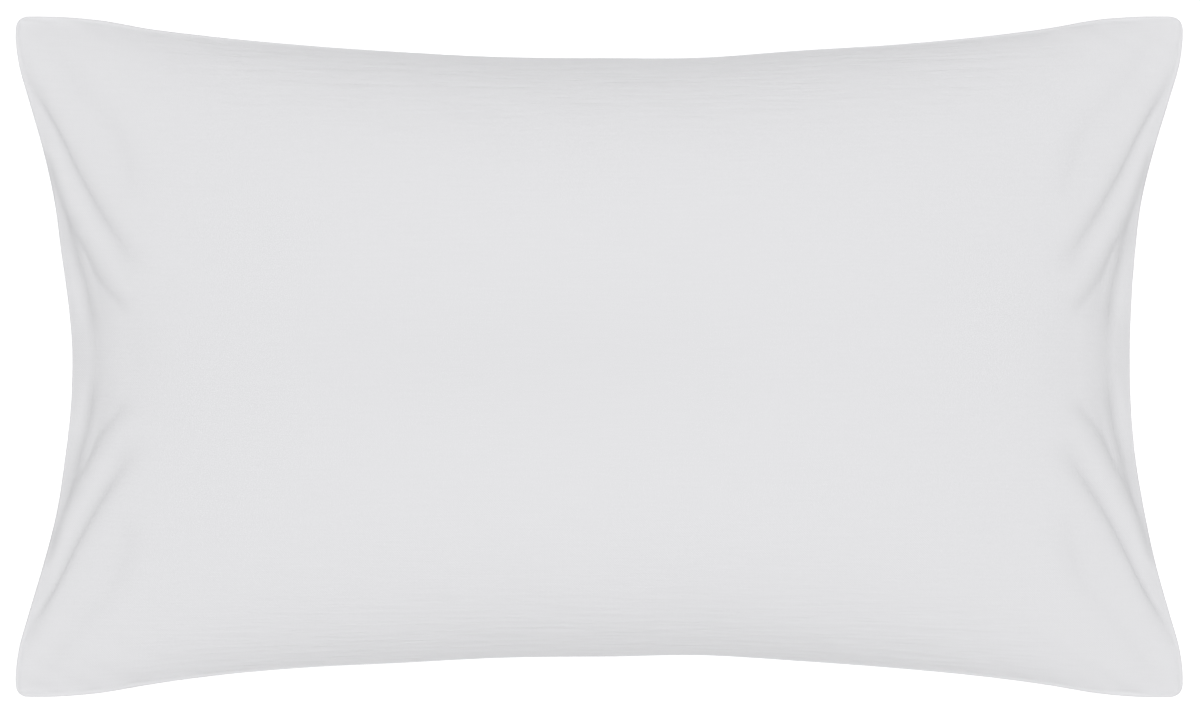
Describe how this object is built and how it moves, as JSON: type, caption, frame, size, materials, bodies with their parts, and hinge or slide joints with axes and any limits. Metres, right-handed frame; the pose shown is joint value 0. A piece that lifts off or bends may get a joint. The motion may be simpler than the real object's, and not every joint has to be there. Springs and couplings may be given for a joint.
{
  "type": "filled pillowcase",
  "caption": "Rectangular pillowcase on its filling, plump in the middle with thin corners, drawn-in sides and creases at the short ends, lying on its back.",
  "frame": {"origin": "under the middle of the body, on the surface it lies on", "axes": "+X along the long sides, +Y along the short sides, +Z out of the face, away from the surface"},
  "size_m": [0.7852, 0.458, 0.123],
  "materials": {
    "cloth": "matt plain-woven bleached cotton"
  },
  "bodies": {
    "root": {"pillowcase": "cloth"}
  },
  "joints": []
}
